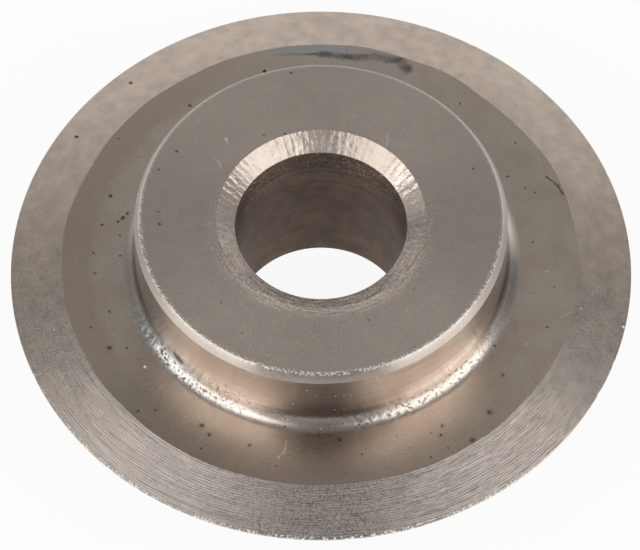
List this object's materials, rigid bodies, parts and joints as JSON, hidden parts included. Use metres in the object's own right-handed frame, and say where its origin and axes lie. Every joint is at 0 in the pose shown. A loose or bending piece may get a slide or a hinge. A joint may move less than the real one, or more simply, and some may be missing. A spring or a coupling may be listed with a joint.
{
  "type": "pipe cutter wheel",
  "caption": "Steel cutting disc with a sharp double-bevelled rim, a thick round hub and a plain bore, which rolls on an axle pin and parts pipe.",
  "frame": {"origin": "centre of the bore, in the plane of the cutting edge, which is also the middle of the hub's width", "axes": "+Z along the bore; the wheel is round about Z and alike above and below, so X and Y may be taken anywhere"},
  "size_m": [0.033, 0.033, 0.011],
  "materials": {
    "ground_steel": "satin ground and turned tool steel, slightly warm grey, with fine rings round the axis, pits and worn edges"
  },
  "bodies": {
    "root": {"cutter_wheel": "ground_steel"}
  },
  "joints": []
}
